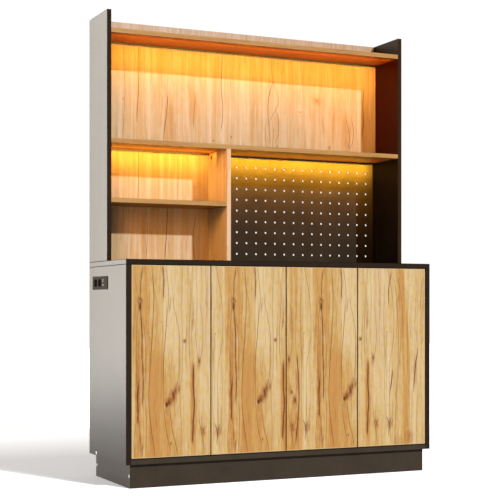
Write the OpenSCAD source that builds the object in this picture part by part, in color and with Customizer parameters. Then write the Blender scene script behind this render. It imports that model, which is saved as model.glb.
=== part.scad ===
// Tall kitchen buffet: a four-door base cabinet on a plinth, with a shallower
// open hutch on top that has shelves, a perforated panel and light bars.
// X runs along the front, the doors face -Y, Z is up, and the floor is Z = 0.

/* [Base cabinet] */
// Width over the side panels
base_w = 1200; // [1080:10:1400]
// Depth from the door fronts to the rear edges
base_d = 400; // [360:10:480]
// Height of the worktop surface above the floor
base_h = 775; // [700:5:900]
// Thickness of the base cabinet's boards
base_t = 18; // [16:1:22]
// Thickness of the thin back panels
back_panel_t = 5; // [3:1:6]
// Distance from the rear edges to the back panels
back_panel_inset = 8; // [6:1:14]
// Depth of the grooves that hold the back panels
panel_groove = 6; // [4:1:8]
// Play between a thin panel and its groove, each way
panel_play = 0.15; // [0.1:0.05:0.3]

/* [Plinth] */
// Height of the plinth
plinth_h = 82; // [60:2:120]
// Thickness of the plinth boards
plinth_t = 18; // [16:1:22]
// Setback of the plinth from the side panels' outer faces
plinth_in_side = 20; // [10:1:40]
// Setback of the plinth from the door fronts
plinth_in_front = 18; // [10:1:50]
// Setback of the plinth from the rear edges
plinth_in_rear = 16; // [5:1:40]

/* [Doors] */
// Thickness of a door
door_t = 18; // [16:1:20]
// Gap round and between the doors
door_gap = 2; // [1.8:0.1:3]
// Gap between the doors' backs and the partition's front edge
door_back_gap = 2.5; // [2:0.5:4]
// Chamfer on a door's front edges
door_chamfer = 1.5; // [0.5:0.5:1.5]

/* [Hinges] */
// Radius of the hinge cup
cup_r = 17.5; // [17:0.1:18]
// Distance from the hinge edge to the cup's centre
cup_in = 22.5; // [22:0.1:23]
// Depth of the cup's bore
cup_bore_d = 12; // [11.5:0.1:12.5]
// Thickness of the cup's wall
cup_wall = 1; // [0.8:0.1:1.1]
// Distance of a hinge's centre from the door's end
hinge_end = 100; // [80:5:140]
// Thickness of the link's cranked strip
link_t = 2.4; // [2:0.1:2.6]
// Height of the link
link_h = 9; // [7:0.5:10]
// Radius of the pin in the cup
cup_pin_r = 1.25; // [1.1:0.05:1.35]
// Radius of the pin in the arm
arm_pin_r = 1.5; // [1.4:0.05:1.6]
// Running clearance of a link on its pin
pin_clear = 0.05; // [0.02:0.01:0.09]

/* [Push latches] */
// Width of a latch housing
latch_w = 14; // [12:1:18]
// Length of a latch housing
latch_l = 60; // [50:2:80]
// Radius of the plunger
plunger_r = 3; // [2.5:0.5:4]
// Distance from a door's free edge to the latch axis
latch_in = 24; // [18:1:40]

/* [Adjustable shelves] */
// Height of the shelf's top above the base cabinet's floor
shelf_z = 322; // [290:32:354]
// Setback of the shelf behind the doors
shelf_setback = 12; // [8:1:40]
// Play at each end of the shelf
shelf_play = 1; // [0.5:0.1:2]
// Radius of a shelf pin
pin_r = 2.5; // [2:0.5:3]
// Depth of the holes for the shelf pins
pin_hole_d = 7.5; // [6:0.5:7.5]
// Spacing of the shelf pin holes
pin_pitch = 32; // [25:1:40]

/* [Hutch] */
// Overall height of the furniture
total_h = 1656; // [1560:4:1760]
// Depth of the hutch
hutch_d = 200; // [180:5:240]
// Thickness of the hutch's boards
hutch_t = 16; // [15:1:18]
// Distance from the side panels' tops to the top shelf's surface
top_drop = 63; // [50:1:90]
// Clear height below the middle shelf
bay_h = 415; // [395:5:440]
// Clear height below the small shelf
small_bay_h = 206; // [160:2:240]
// Clear width of the left bay
left_bay_w = 442; // [400:2:500]
// Setback of the wooden backs from the rear edges
back_inset = 12; // [6:1:20]
// Radius of the cable hole through the divider
cable_r = 5; // [3:0.5:8]
// Distance from the cable hole to the wooden back
cable_from_back = 28; // [20:1:40]
// Distance from the cable hole to the middle shelf
cable_down = 19; // [16:1:30]

/* [Pegboard] */
// Thickness of the perforated panel
peg_t = 4; // [3:0.5:5]
// Setback of the perforated panel from the rear edges
peg_inset = 2; // [2:0.5:5]
// Radius of a hole
peg_r = 4; // [3:0.5:5]
// Number of columns of holes
peg_cols = 17; // [11:1:17]
// Number of rows of holes
peg_rows = 9; // [5:1:9]
// Spacing of the columns
peg_pitch_x = 40.5; // [36:0.5:41]
// Spacing of the rows
peg_pitch_z = 41.4; // [36:0.2:42]

/* [Light bars] */
// Width of a light bar, front to back
bar_w = 12; // [10:1:16]
// Height of a light bar
bar_h = 7; // [6:0.5:10]
// Width of the lens
lens_w = 8; // [6:0.5:8.5]
// Thickness of the lens
lens_t = 2; // [1.5:0.5:3]
// How far the lens lies up inside its bar
lens_recess = 0.6; // [0.2:0.2:1]
// Gap between a bar's end and the panel beside it
bar_end_gap = 2; // [0.5:0.5:10]

/* [Power socket] */
// Length of the face plate
plate_l = 167; // [150:1:180]
// Height of the face plate
plate_h = 47; // [42:1:56]
// Thickness of the face plate
plate_t = 2; // [1.5:0.5:3]
// Overlap of the face plate on the panel
plate_lap = 5; // [3:0.5:6]
// Distance from the rear edges to the face plate
plate_rear = 42; // [36:1:120]
// Distance from the worktop surface to the face plate
plate_down = 53; // [44:1:120]
// Depth of the housing behind the plate
socket_d = 44; // [36:1:50]

/* [Joinery] */
// Radius of a dowel
dowel_r = 4; // [3:0.5:4]
// Length of a dowel
dowel_l = 30; // [28:1:32]
// Depth of a dowel in the face of a board
dowel_face = 10; // [8:0.5:12]
// Clearance round a dowel
dowel_clear = 0.05; // [0.02:0.01:0.1]
// Radius of a side screw's shank
screw_r = 3.5; // [3:0.25:3.5]
// Length of a side screw
screw_l = 50; // [40:1:60]
// Radius of a side screw's head
screw_head_r = 6; // [5:0.5:7]

/* [Hidden] */
$fn = 48;
half_w = base_w / 2;
front_y = -base_d / 2;
rear_y = base_d / 2;
in_x = half_w - base_t;
top_z = base_h - base_t;
floor_z = plinth_h + base_t;

door_n = 4;
door_w = (2 * in_x - (door_n + 1) * door_gap) / door_n;
door_z0 = floor_z + door_gap;
door_z1 = top_z - door_gap;
hinge_z = [door_z0 + hinge_end, door_z1 - hinge_end];

// Hinge pivots, seen from above: along the door from its edge, back from its front
cup_pin = [10.5, 13];
arm_pin = [33, 14];
cup_floor_t = 0.8;
cup_flange_t = 1.2;
cup_flange_w = 18;
cup_screw_span = 48;
cup_clear = 0.1;
arm_play = 0.4;
arm_cheek_t = 2;
arm_plate_t = 2;
arm_rise = 8;
arm_front = 30;
arm_l = 46;
// The link's slot, along the link from the cup pin, with room for the swing
slot_near = 18.2;
slot_far = 22.52;
slot_r = arm_pin_r + 0.96;
link_wall = 0.8;
link_angle = atan2(arm_pin.y - cup_pin.y, arm_pin.x - cup_pin.x);
link_route = [[0, 0], [5, -3.6], [13, -2.6], [slot_near, 0]];

strike_t = 1;
strike_w = 18;
strike_h = 9;
latch_gap = 0.3;
latch_front = 6;
latch_h = 16;
latch_z = top_z - latch_h / 2;
plunger_l = 42;

part_front = front_y + door_t + door_back_gap;
panel_front_y = rear_y - back_panel_inset - back_panel_t;
shelf_front_y = front_y + door_t + shelf_setback;
shelf_t = 16;
shelf_top = floor_z + shelf_z;

hx_in = half_w - hutch_t;
hy0 = rear_y - hutch_d;
mid_z0 = base_h + bay_h;
mid_z1 = mid_z0 + hutch_t;
top_z1 = total_h - top_drop;
top_z0 = top_z1 - hutch_t;
small_z0 = base_h + small_bay_h;
div_x0 = -hx_in + left_bay_w;
div_x1 = div_x0 + hutch_t;
wood_y1 = rear_y - back_inset;
wood_y0 = wood_y1 - hutch_t;
peg_y1 = rear_y - peg_inset;
peg_y0 = peg_y1 - peg_t;
peg_groove = 4;
peg_x = (div_x1 + hx_in) / 2;
peg_z = base_h + bay_h / 2;

plate_y1 = rear_y - plate_rear;
plate_y0 = plate_y1 - plate_l;
plate_z1 = base_h - plate_down;
plate_z0 = plate_z1 - plate_h;
plate_mid_y = (plate_y0 + plate_y1) / 2;
plate_mid_z = (plate_z0 + plate_z1) / 2;
plate_corner = 3;
outlet_y = [plate_y1 - 36, plate_y1 - 82];
outlet_l = 34;
outlet_h = 27;
usb_y = plate_y0 + 48;
usb_z = [plate_mid_z - 8, plate_mid_z + 8];
usb_l = 14;
usb_h = 6.5;
insert_clear = 0.2;
insert_d = 12;

px0 = -half_w + plinth_in_side;
py0 = front_y + plinth_in_front;
py1 = rear_y - plinth_in_rear;
stretcher_x = [-(half_w - plinth_in_side) / 3, (half_w - plinth_in_side) / 3];

dark = [0.17, 0.15, 0.13];
oak = [0.83, 0.66, 0.42];
steel = [0.72, 0.73, 0.74];

// Places of the dowels: a point where two boards meet, and the way into the end of one
base_y = [-base_d * 0.3, base_d * 0.2];
hutch_y = [hy0 + hutch_d * 0.2, hy0 + hutch_d * 0.6];
side_top_dowels = [for (s = [-1, 1], y = base_y) [[s * (half_w - base_t / 2), y, top_z], [0, 0, -1]]];
bottom_dowels = [for (s = [-1, 1], y = base_y) [[s * in_x, y, floor_z - base_t / 2], [-s, 0, 0]]];
part_top_dowels = [for (y = base_y) [[0, y, top_z], [0, 0, -1]]];
part_foot_dowels = [for (y = base_y) [[0, y, floor_z], [0, 0, 1]]];
hutch_foot_dowels = [for (s = [-1, 1], y = hutch_y) [[s * (half_w - hutch_t / 2), y, base_h], [0, 0, 1]]];
div_foot_dowels = [for (y = hutch_y) [[div_x0 + hutch_t / 2, y, base_h], [0, 0, 1]]];
div_top_dowels = [for (y = hutch_y) [[div_x0 + hutch_t / 2, y, mid_z0], [0, 0, -1]]];
mid_dowels = [for (s = [-1, 1], y = hutch_y) [[s * hx_in, y, mid_z0 + hutch_t / 2], [-s, 0, 0]]];
top_dowels = [for (s = [-1, 1], y = hutch_y) [[s * hx_in, y, top_z0 + hutch_t / 2], [-s, 0, 0]]];
small_side_dowels = [for (y = hutch_y) [[-hx_in, y, small_z0 + hutch_t / 2], [1, 0, 0]]];
small_div_dowels = [for (y = hutch_y) [[div_x0, y, small_z0 + hutch_t / 2], [-1, 0, 0]]];
gallery_dowels = [for (s = [-1, 1]) [[s * hx_in, rear_y - hutch_t / 2, total_h - top_drop / 2], [-s, 0, 0]]];
upper_back_dowels = [for (s = [-1, 1], f = [0.2, 0.8])
    [[s * hx_in, wood_y0 + hutch_t / 2, mid_z1 + f * (top_z0 - mid_z1)], [-s, 0, 0]]];
lower_back_dowels = [for (f = [0.2, 0.8])
    [[-hx_in, wood_y0 + hutch_t / 2, base_h + f * bay_h], [1, 0, 0]]];
stretcher_dowels = [for (x = stretcher_x, e = [0, 1])
    [[x, e == 0 ? py0 + plinth_t : py1 - plinth_t, plinth_h / 2], [0, e == 0 ? 1 : -1, 0]]];

// Places of the side screws: where the head lies, and which way it is driven
plinth_screws = [for (s = [-1, 1], y = [py0 + plinth_t / 2, py1 - plinth_t / 2])
    [[-s * px0, y, plinth_h / 2], -s]];
bottom_screws = [for (s = [-1, 1]) [[s * half_w, rear_y - 79, floor_z - base_t / 2], -s]];

// A block between two corners
module block(a, b) {
    translate(a) cube(b - a);
}

// A cylinder from a point along one row axis
module rod(p, dir, r, l) {
    translate(p)
        rotate(dir.x != 0 ? [0, 90 * dir.x, 0] : dir.y != 0 ? [-90 * dir.y, 0, 0] : [dir.z < 0 ? 180 : 0, 0, 0])
            cylinder(r = r, h = l);
}

// Dowels at a list of places, or their bores when a clearance is given
module dowel_set(places, clear = 0) {
    end_room = clear > 0 ? 0.5 : 0;
    for (p = places)
        rod(p[0] - (dowel_face + end_room) * p[1], p[1], dowel_r + clear, dowel_l + 2 * end_room);
}

module bores(places) {
    dowel_set(places, dowel_clear);
}

// A side screw with its head flush, or its stepped bore when a clearance is given
module screw_set(places, clear = 0) {
    head_t = 2;
    for (p = places) {
        rod(p[0], [p[1], 0, 0], screw_head_r + clear, head_t);
        rod(p[0], [p[1], 0, 0], screw_r + clear, screw_l + (clear > 0 ? 1 : 0));
    }
}

module screw_bores(places) {
    screw_set(places, 0.05);
}

// The space of a thin back panel with its edges in the grooves
module back_groove() {
    y0 = panel_front_y - panel_play;
    y1 = panel_front_y + back_panel_t + panel_play;
    block([-in_x - panel_groove, y0, floor_z - panel_groove], [in_x + panel_groove, y1, top_z + panel_groove]);
}

module worktop() {
    color(dark) difference() {
        block([-half_w, front_y, top_z], [half_w, rear_y, base_h]);
        back_groove();
        peg_slot();
        bores(side_top_dowels);
        bores(part_top_dowels);
        bores(hutch_foot_dowels);
        bores(div_foot_dowels);
    }
}

// A column of shelf pin holes in one face
module pin_column(x, dir, y) {
    for (i = [-2:2])
        rod([x, y, shelf_top - shelf_t - pin_r + i * pin_pitch], [dir, 0, 0], pin_r + 0.05, pin_hole_d);
}

pin_y = [shelf_front_y + 37, panel_front_y - 60];

module base_side(s) {
    color(dark) difference() {
        block([s > 0 ? in_x : -half_w, front_y, plinth_h], [s > 0 ? half_w : -in_x, rear_y, top_z]);
        back_groove();
        for (y = pin_y) pin_column(s * in_x, s, y);
        bores([for (d = side_top_dowels) if (d[0].x * s > 0) d]);
        bores([for (d = bottom_dowels) if (d[0].x * s > 0) d]);
        screw_bores([for (d = bottom_screws) if (d[0].x * s > 0) d]);
        if (s < 0)
            block([-half_w - 1, plate_y0 + plate_lap, plate_z0 + plate_lap],
                [-in_x + 1, plate_y1 - plate_lap, plate_z1 - plate_lap]);
    }
}

module base_bottom() {
    color(dark) difference() {
        block([-in_x, front_y, plinth_h], [in_x, rear_y, floor_z]);
        back_groove();
        bores(bottom_dowels);
        bores(part_foot_dowels);
        screw_bores(bottom_screws);
    }
}

module base_partition() {
    color(dark) difference() {
        block([-base_t / 2, part_front, floor_z], [base_t / 2, rear_y, top_z]);
        for (s = [-1, 1])
            block([s > 0 ? base_t / 2 - panel_groove : -base_t / 2 - 1, panel_front_y - panel_play, floor_z - 1],
                [s > 0 ? base_t / 2 + 1 : -base_t / 2 + panel_groove,
                    panel_front_y + back_panel_t + panel_play, top_z + 1]);
        for (s = [-1, 1], y = pin_y) pin_column(s * base_t / 2, -s, y);
        bores(part_top_dowels);
        bores(part_foot_dowels);
    }
}

// Two thin panels, each with all four edges in grooves
module base_backs() {
    edge = panel_groove - 0.5;
    color(dark) for (s = [-1, 1])
        block([s > 0 ? base_t / 2 - edge : -in_x - edge, panel_front_y, floor_z - edge],
            [s > 0 ? in_x + edge : -base_t / 2 + edge, panel_front_y + back_panel_t, top_z + edge]);
}

module inner_shelf(s) {
    color(dark)
        block([s > 0 ? base_t / 2 + shelf_play : -in_x + shelf_play, shelf_front_y, shelf_top - shelf_t],
            [s > 0 ? in_x - shelf_play : -base_t / 2 - shelf_play, panel_front_y - 2, shelf_top]);
}

// Shelf pins: a shank with a thin collar that stops it at the panel's face
module shelf_pins() {
    z = shelf_top - shelf_t - pin_r;
    reach = 8;
    hole_room = 0.5;
    collar_t = 0.3;
    color(steel) for (y = pin_y, f = [[-in_x, 1], [-base_t / 2, -1], [base_t / 2, 1], [in_x, -1]]) {
        rod([f[0] - f[1] * (pin_hole_d - hole_room), y, z], [f[1], 0, 0], pin_r, pin_hole_d - hole_room + reach);
        rod([f[0], y, z], [f[1], 0, 0], pin_r + 1.5, collar_t);
    }
}

module plinth_front() {
    color(dark) difference() {
        block([px0 + plinth_t, py0, 0], [-px0 - plinth_t, py0 + plinth_t, plinth_h]);
        bores(stretcher_dowels);
        screw_bores(plinth_screws);
    }
}

module plinth_back() {
    color(dark) difference() {
        block([px0 + plinth_t, py1 - plinth_t, 0], [-px0 - plinth_t, py1, plinth_h]);
        bores(stretcher_dowels);
        screw_bores(plinth_screws);
    }
}

module plinth_side(s) {
    color(dark) difference() {
        block([s > 0 ? -px0 - plinth_t : px0, py0, 0], [s > 0 ? -px0 : px0 + plinth_t, py1, plinth_h]);
        screw_bores(plinth_screws);
    }
}

module plinth_stretchers() {
    color(dark) for (x = stretcher_x) difference() {
        block([x - plinth_t / 2, py0 + plinth_t, 0], [x + plinth_t / 2, py1 - plinth_t, plinth_h]);
        bores([for (d = stretcher_dowels) if (d[0].x == x) d]);
    }
}

module side_screws() {
    color(steel) {
        screw_set(plinth_screws);
        screw_set(bottom_screws);
    }
}

module dowels() {
    color(oak) {
        dowel_set(side_top_dowels);
        dowel_set(bottom_dowels);
        dowel_set(part_top_dowels);
        dowel_set(part_foot_dowels);
        dowel_set(hutch_foot_dowels);
        dowel_set(div_foot_dowels);
        dowel_set(div_top_dowels);
        dowel_set(mid_dowels);
        dowel_set(top_dowels);
        dowel_set(small_side_dowels);
        dowel_set(small_div_dowels);
        dowel_set(gallery_dowels);
        dowel_set(upper_back_dowels);
        dowel_set(lower_back_dowels);
        dowel_set(stretcher_dowels);
    }
}

// The space of the perforated panel with its edges in the grooves
module peg_slot() {
    block([div_x1 - peg_groove, peg_y0 - panel_play, base_h - peg_groove],
        [hx_in + peg_groove, peg_y1 + panel_play, mid_z0 + peg_groove]);
}

module hutch_side(s) {
    color(dark) difference() {
        block([s > 0 ? hx_in : -half_w, hy0, base_h], [s > 0 ? half_w : -hx_in, rear_y, total_h]);
        bores([for (d = concat(hutch_foot_dowels, mid_dowels, top_dowels, gallery_dowels, upper_back_dowels))
            if (d[0].x * s > 0) d]);
        if (s < 0) {
            bores(small_side_dowels);
            bores(lower_back_dowels);
        }
        if (s > 0) peg_slot();
    }
}

module top_shelf() {
    color(oak) difference() {
        block([-hx_in, hy0, top_z0], [hx_in, rear_y, top_z1]);
        bores(top_dowels);
    }
}

module mid_shelf() {
    color(oak) difference() {
        block([-hx_in, hy0, mid_z0], [hx_in, rear_y, mid_z1]);
        bores(mid_dowels);
        bores(div_top_dowels);
        peg_slot();
    }
}

module hutch_divider() {
    color(oak) difference() {
        block([div_x0, hy0, base_h], [div_x1, rear_y, mid_z0]);
        bores(div_foot_dowels);
        bores(div_top_dowels);
        bores(small_div_dowels);
        peg_slot();
        rod([div_x0 - 1, wood_y0 - cable_from_back, mid_z0 - cable_down], [1, 0, 0], cable_r, hutch_t + 2);
    }
}

module small_shelf() {
    color(oak) difference() {
        block([-hx_in, hy0, small_z0], [div_x0, wood_y0, small_z0 + hutch_t]);
        bores(small_side_dowels);
        bores(small_div_dowels);
    }
}

module upper_back() {
    color(oak) difference() {
        block([-hx_in, wood_y0, mid_z1], [hx_in, wood_y1, top_z0]);
        bores(upper_back_dowels);
    }
}

module lower_back() {
    color(oak) difference() {
        block([-hx_in, wood_y0, base_h], [div_x0, wood_y1, mid_z0]);
        bores(lower_back_dowels);
    }
}

module gallery_rail() {
    color(oak) difference() {
        block([-hx_in, rear_y - hutch_t, top_z1], [hx_in, rear_y, total_h]);
        bores(gallery_dowels);
    }
}

// A thin panel drilled right through on a grid that is centred in its bay
module pegboard() {
    edge = peg_groove - 0.5;
    color(dark) difference() {
        block([div_x1 - edge, peg_y0, base_h - edge], [hx_in + edge, peg_y1, mid_z0 + edge]);
        for (i = [0:peg_cols - 1], j = [0:peg_rows - 1])
            rod([peg_x + (i - (peg_cols - 1) / 2) * peg_pitch_x, peg_y0 - 1,
                peg_z + (j - (peg_rows - 1) / 2) * peg_pitch_z], [0, 1, 0], peg_r, peg_t + 2);
    }
}

// Bars as [left end, right end, face behind, underside above]
bar_top_place = [-hx_in + bar_end_gap, hx_in - bar_end_gap, wood_y0, top_z0];
bar_left_place = [-hx_in + bar_end_gap, div_x0 - bar_end_gap, wood_y0, mid_z0];
bar_right_place = [div_x1 + bar_end_gap, hx_in - bar_end_gap, peg_y0, mid_z0];
bar_cap = 1.5;

// Section of a bar, with the slot for its lens in the underside
module bar_section() {
    polygon([[0, 0], [-bar_w, 0], [-bar_w, -bar_h + 1], [-bar_w + 1, -bar_h],
        [-(bar_w + lens_w) / 2, -bar_h], [-(bar_w + lens_w) / 2, -bar_h + lens_recess + lens_t],
        [-(bar_w - lens_w) / 2, -bar_h + lens_recess + lens_t], [-(bar_w - lens_w) / 2, -bar_h],
        [0, -bar_h]]);
}

module led_bar(p) {
    color(dark) {
        translate([p[0] + bar_cap, p[2], p[3]]) rotate([90, 0, 90])
            linear_extrude(p[1] - p[0] - 2 * bar_cap) bar_section();
        for (x = [p[0], p[1] - bar_cap])
            block([x, p[2] - bar_w, p[3] - bar_h], [x + bar_cap, p[2], p[3]]);
    }
}

module led_lenses() {
    color("gold") for (p = [bar_top_place, bar_left_place, bar_right_place])
        block([p[0] + bar_cap, p[2] - (bar_w + lens_w) / 2, p[3] - bar_h + lens_recess],
            [p[1] - bar_cap, p[2] - (bar_w - lens_w) / 2, p[3] - bar_h + lens_recess + lens_t]);
}

// A flat outline with round corners, made of true arcs
module round_rect(l, h, r) {
    square([l - 2 * r, h], center = true);
    square([l, h - 2 * r], center = true);
    for (x = [-1, 1], y = [-1, 1]) translate([x * (l / 2 - r), y * (h / 2 - r)]) circle(r);
}

// Puts an outline in the left panel's face, its thickness running inwards from a depth
module in_panel(y, z, depth, t) {
    translate([-half_w + depth, y, z]) rotate([90, 0, 90]) linear_extrude(t) children();
}

module socket_plate() {
    color([0.22, 0.21, 0.2]) difference() {
        in_panel(plate_mid_y, plate_mid_z, -plate_t, plate_t) round_rect(plate_l, plate_h, plate_corner);
        for (y = outlet_y)
            in_panel(y, plate_mid_z, -plate_t - 1, plate_t + 2)
                round_rect(outlet_l + insert_clear, outlet_h + insert_clear, 8);
        for (z = usb_z)
            in_panel(usb_y, z, -plate_t - 1, plate_t + 2)
                round_rect(usb_l + insert_clear, usb_h + insert_clear, 1);
        for (y = [plate_y0 + 8, plate_y1 - 8])
            rod([-half_w - plate_t - 1, y, plate_mid_z], [1, 0, 0], 1.6, plate_t + 2);
    }
}

// Outlet inserts, each with two blade slots and a ground hole
module socket_inserts() {
    color("dimgray") for (y = outlet_y) difference() {
        in_panel(y, plate_mid_z, -plate_t + 0.8, plate_t - 0.8 + insert_d) round_rect(outlet_l, outlet_h, 8);
        for (dy = [-6.3, 6.3])
            in_panel(y + dy, plate_mid_z + 3, -plate_t, insert_d - 1) square([1.8, 8], center = true);
        rod([-half_w - plate_t, y, plate_mid_z - 7], [1, 0, 0], 2.4, insert_d - 1);
    }
}

// Charging ports: a shell with a contact tongue inside
module usb_ports() {
    shell_t = 0.8;
    tongue_t = 1.8;
    color("silver") for (z = usb_z) {
        difference() {
            in_panel(usb_y, z, -plate_t + 0.3, plate_t - 0.3 + insert_d) round_rect(usb_l, usb_h, 1);
            in_panel(usb_y, z, -plate_t, insert_d - 1)
                square([usb_l - 2 * shell_t, usb_h - 2 * shell_t], center = true);
        }
        in_panel(usb_y, z + 0.7, 0, insert_d - plate_t) square([usb_l - 3.4, tongue_t], center = true);
    }
}

// Housing behind the plate: a tray that holds the inserts in front of a closed back
module socket_body() {
    l = plate_l - 2 * plate_lap - 1;
    h = plate_h - 2 * plate_lap - 1;
    wall = 2;
    color([0.15, 0.15, 0.15]) difference() {
        in_panel(plate_mid_y, plate_mid_z, 0, socket_d) round_rect(l, h, 2);
        for (y = outlet_y)
            in_panel(y, plate_mid_z, -1, insert_d + 1.1) round_rect(outlet_l + insert_clear, outlet_h + insert_clear, 8);
        for (z = usb_z)
            in_panel(usb_y, z, -1, insert_d + 1.1) round_rect(usb_l + insert_clear, usb_h + insert_clear, 1);
        in_panel(plate_mid_y, plate_mid_z, insert_d + 4, socket_d - insert_d - 4 - wall)
            round_rect(l - 2 * wall, h - 2 * wall, 2);
    }
}

function door_x0(i) = -in_x + door_gap + (i - 1) * (door_w + door_gap);
function hinge_on_left(i) = i % 2 == 1;
function on_partition(i) = i == 2 || i == 3;
// Distance from a door's hinge edge to the face that carries its arms, along the door
function arm_face(i) = on_partition(i) ? base_t / 2 - door_gap / 2 : -door_gap;

// Frame of a door: X along it from its hinge edge, Y back from its front face
module at_door(i) {
    translate([hinge_on_left(i) ? door_x0(i) : door_x0(i) + door_w, front_y, 0])
        mirror([hinge_on_left(i) ? 0 : 1, 0, 0]) children();
}

module door(i) {
    c = door_chamfer;
    h = door_z1 - door_z0;
    color(oak) at_door(i) difference() {
        intersection() {
            translate([0, 0, door_z0]) linear_extrude(h)
                polygon([[c, 0], [door_w - c, 0], [door_w, c], [door_w, door_t], [0, door_t], [0, c]]);
            rotate([90, 0, 90]) linear_extrude(door_w)
                polygon([[0, door_z0 + c], [c, door_z0], [door_t, door_z0], [door_t, door_z1],
                    [c, door_z1], [0, door_z1 - c]]);
        }
        for (z = hinge_z)
            rod([cup_in, door_t - cup_bore_d, z], [0, 1, 0], cup_r, cup_bore_d + 1);
    }
}

// Hinge cup: a pressed shell with a flange, and the pin that its link turns on
module hinge_cup() {
    r = cup_r - cup_clear;
    y0 = door_t - cup_bore_d;
    difference() {
        union() {
            rod([cup_in, y0, 0], [0, 1, 0], r, cup_bore_d + cup_flange_t);
            translate([cup_in, door_t, 0]) rotate([-90, 0, 0]) linear_extrude(cup_flange_t)
                for (s = [-1, 1]) {
                    translate([2, s * cup_screw_span / 4]) square([cup_flange_w, cup_screw_span / 2], center = true);
                    translate([2, s * cup_screw_span / 2]) circle(cup_flange_w / 2);
                }
        }
        rod([cup_in, y0 + cup_floor_t, 0], [0, 1, 0], r - cup_wall, cup_bore_d + cup_flange_t);
        for (s = [-1, 1])
            rod([cup_in + 2, door_t - 1, s * cup_screw_span / 2], [0, 1, 0], 2.2, cup_flange_t + 2);
    }
    intersection() {
        rod([cup_pin.x, cup_pin.y, -cup_r], [0, 0, 1], cup_pin_r, 2 * cup_r);
        rod([cup_in, y0, 0], [0, 1, 0], r - cup_wall / 2, cup_bore_d);
    }
}

module hinge_cups(i) {
    color(steel) at_door(i) for (z = hinge_z) translate([0, 0, z]) hinge_cup();
}

// The way across a path at one of its points, lengthened at a bend so that a strip keeps its width
function across(a, b) = [a.y - b.y, b.x - a.x] / norm(b - a);
function across_bend(a, b, c) = let (m = across(a, b) + across(b, c)) m / (m * across(a, b));
function path_across(p, k) = k == 0 ? across(p[0], p[1])
    : k == len(p) - 1 ? across(p[k - 1], p[k]) : across_bend(p[k - 1], p[k], p[k + 1]);

// A strip of a given width along a path
module strip(p, w) {
    n = len(p) - 1;
    polygon(concat([for (k = [0:n]) p[k] + w / 2 * path_across(p, k)],
        [for (k = [n:-1:0]) p[k] - w / 2 * path_across(p, k)]));
}

// A slot with round ends, its sides a hair inside the round ends so that they cross cleanly
module slot_shape(r) {
    for (x = [slot_near, slot_far]) translate([x, 0]) circle(r);
    translate([slot_near, 0.02 - r]) square([slot_far - slot_near, 2 * r - 0.04]);
}

// Cranked link, seen from above: it turns on the cup's pin, and its slot takes the arm's pin
module hinge_link() {
    bore_r = cup_pin_r + pin_clear;
    translate([cup_pin.x, cup_pin.y, -link_h / 2]) rotate(link_angle) linear_extrude(link_h) difference() {
        union() {
            circle(bore_r + 1.2);
            strip(link_route, link_t);
            slot_shape(slot_r + link_wall);
        }
        circle(bore_r);
        slot_shape(slot_r);
    }
}

module hinge_links(i) {
    color(steel) at_door(i) for (z = hinge_z) translate([0, 0, z]) hinge_link();
}

// Arm: a channel on the mounting plate whose two cheeks reach into the cup and hold a pin
module hinge_arm(face) {
    x0 = face + arm_plate_t;
    x1 = x0 + arm_rise;
    half = link_h / 2 + arm_play;
    nose = arm_pin_r + 1.3;
    for (s = [-1, 1])
        translate([0, 0, s > 0 ? half : -half - arm_cheek_t]) linear_extrude(arm_cheek_t) {
            polygon([[x0, arm_front + 2], [x0, arm_front + 14], [x1, arm_front + 14],
                [arm_pin.x + 0.6 * nose, arm_pin.y + 0.8 * nose], [arm_pin.x - 0.8 * nose, arm_pin.y - 0.6 * nose]]);
            translate(arm_pin) circle(nose);
        }
    block([x0, arm_front + 12, -half - arm_cheek_t], [x1, arm_front + arm_l, half + arm_cheek_t]);
    rod([arm_pin.x, arm_pin.y, -half - 0.1], [0, 0, 1], arm_pin_r, 2 * half + 0.2);
}

module hinge_arms() {
    color(steel) for (i = [1:door_n]) at_door(i) for (z = hinge_z) translate([0, 0, z]) hinge_arm(arm_face(i));
}

// Mounting plate: a cross with two screw holes, on the face that carries the arm
module hinge_plate(face) {
    wing = 20;
    difference() {
        union() {
            block([face, arm_front + 8, -9], [face + arm_plate_t, arm_front + arm_l + 4, 9]);
            block([face, arm_front + 24, -wing - 5], [face + arm_plate_t, arm_front + 36, wing + 5]);
        }
        for (s = [-1, 1]) rod([face - 1, arm_front + 30, s * wing], [1, 0, 0], 2.5, arm_plate_t + 2);
    }
}

module hinge_plates() {
    color(steel) for (i = [1:door_n]) at_door(i) for (z = hinge_z) translate([0, 0, z]) hinge_plate(arm_face(i));
}

module strike_plate(i) {
    color(steel) at_door(i)
        block([door_w - latch_in - strike_w / 2, door_t, latch_z - strike_h / 2],
            [door_w - latch_in + strike_w / 2, door_t + strike_t, latch_z + strike_h / 2]);
}

// Push latch housing with a fixing ear each side, bored for its plunger
module latch_body(i) {
    y0 = door_t + latch_front;
    ear = 7;
    at_door(i) translate([door_w - latch_in, 0, 0]) difference() {
        union() {
            block([-latch_w / 2, y0, top_z - latch_h], [latch_w / 2, y0 + latch_l, top_z]);
            block([-latch_w / 2 - ear, y0 + latch_l / 2 - 6, top_z - 2.5], [latch_w / 2 + ear, y0 + latch_l / 2 + 6, top_z]);
        }
        rod([0, y0 - 1, latch_z], [0, 1, 0], plunger_r + 0.08, plunger_l + 8);
        for (s = [-1, 1])
            rod([s * (latch_w / 2 + ear / 2), y0 + latch_l / 2, top_z - 4], [0, 0, 1], 1.8, 5);
    }
}

module latch_bodies() {
    color([0.3, 0.3, 0.3]) for (i = [1:door_n]) latch_body(i);
}

// Plunger, stored pushed in, with a collar at its magnetic tip
module plunger(i) {
    y0 = door_t + strike_t + latch_gap;
    color("whitesmoke") at_door(i) translate([door_w - latch_in, 0, 0]) {
        rod([0, y0, latch_z], [0, 1, 0], plunger_r, plunger_l);
        rod([0, y0, latch_z], [0, 1, 0], plunger_r + 1.5, 2.5);
    }
}

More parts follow.
